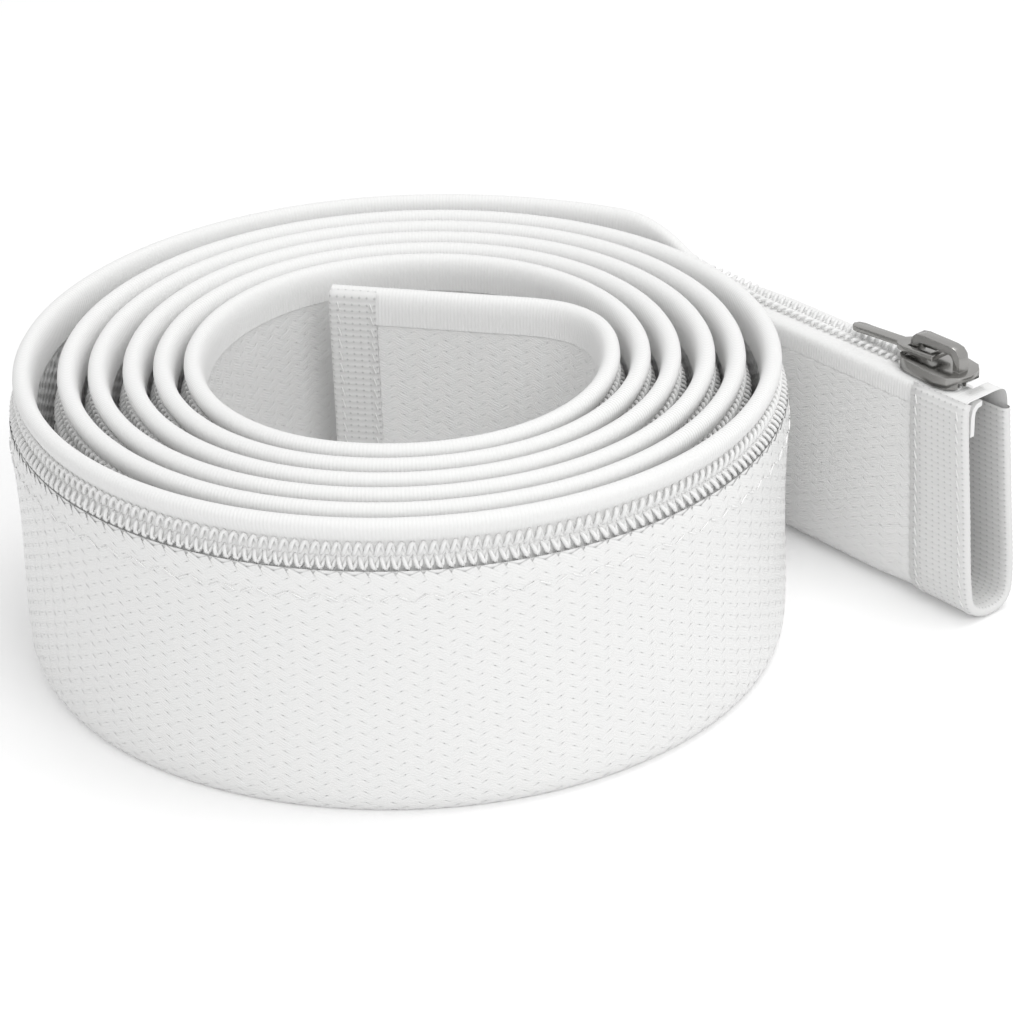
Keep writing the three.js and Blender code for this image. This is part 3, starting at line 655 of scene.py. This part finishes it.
# %% The turned-in end of the tape is the solid itself, in thread white
tape_end = frame["nodes"]["zipper_tape_end"]
tape_end.data.materials.clear()
tape_end.data.materials.append(thread_material)
print("zipper_tape_end:", tape_end.data.materials[0].name)

# %% [markdown]
# The floor is plain white, and a white object on it needs soft light from one side, or its form is lost. So
# the key lamp stands to the right, a lamp above and a weak one in front soften its shadows, and the world
# fills in the rest. Only what the camera sees, by eye or by reflection, is lifted to full white.

# %% The floor
FLOOR_COLOR, FLOOR_ROUGHNESS, FLOOR_GLOW, FLOOR_SIZE = (0.9, 0.9, 0.9), 0.9, 0.14, 6


def seen_rays(tree):
    """1 for rays from the camera, off gloss or through glass, and 0 for the rest."""
    ray = tree.nodes.new("ShaderNodeLightPath").outputs
    both = calculate(tree, "MAXIMUM", ray["Is Camera Ray"], ray["Is Glossy Ray"])
    return calculate(tree, "MAXIMUM", both, ray["Is Transmission Ray"])


floor_material, tree, shader = finish("floor", FLOOR_COLOR, FLOOR_ROUGHNESS)
shader.inputs["Emission Color"].default_value = (1, 1, 1, 1)
tree.links.new(calculate(tree, "MULTIPLY", seen_rays(tree), FLOOR_GLOW), shader.inputs["Emission Strength"])
bpy.ops.mesh.primitive_plane_add(size=FLOOR_SIZE, location=(0, 0, 0))
floor = bpy.context.object
floor.name = "floor"
floor.data.materials.append(floor_material)

# %% The lamps and the world
SURROUND = 0.66


def area_light(name, location, target, size, power):
    """A square lamp of a size in metres and a power in watts, turned to face its target."""
    light = bpy.data.lights.new(name, "AREA")
    light.size, light.energy = size, power
    lamp = bpy.data.objects.new(name, light)
    lamp.location = location
    lamp.rotation_euler = (Vector(target) - Vector(location)).to_track_quat("-Z", "Y").to_euler()
    bpy.context.collection.objects.link(lamp)
    print(f"lamp {name}: {power} W")


area_light("key", (0.75, -0.15, 0.75), (0, 0, 0.02), 0.5, 2.6)
area_light("top", (0.1, 0.25, 1.1), (0, 0, 0), 0.5, 3.2)
area_light("front", (0.55, -0.75, 0.55), (0, 0, 0.02), 0.6, 0.5)

world = bpy.data.worlds.new("surround")
bpy.context.scene.world = world
world.use_nodes = True
background = world.node_tree.nodes["Background"]
background.inputs["Color"].default_value = (1, 1, 1, 1)
strength = calculate(world.node_tree, "MULTIPLY_ADD", seen_rays(world.node_tree), 1.0 - SURROUND)
strength.node.inputs[2].default_value = SURROUND
world.node_tree.links.new(strength, background.inputs["Strength"])

# %% The camera
CAMERA_AT, CAMERA_AIM, CAMERA_ROLL = (0.375, -0.3005, 0.2797), (-0.0175, 0.0291, 0), -1.55
LENS, SENSOR = 113.6, 36

camera_data = bpy.data.cameras.new("camera")
camera_data.lens, camera_data.sensor_width = LENS, SENSOR
camera = bpy.data.objects.new("camera", camera_data)
camera.location = CAMERA_AT
aim = (Vector(CAMERA_AIM) - camera.location).to_track_quat("-Z", "Y")
camera.rotation_euler = (aim @ Quaternion((0, 0, 1), math.radians(CAMERA_ROLL))).to_euler()
bpy.context.collection.objects.link(camera)
bpy.context.scene.camera = camera
bpy.context.scene.view_settings.view_transform = "Standard"
print(f"the camera is {camera.location.length / MM:.0f} mm from the middle of the floor")
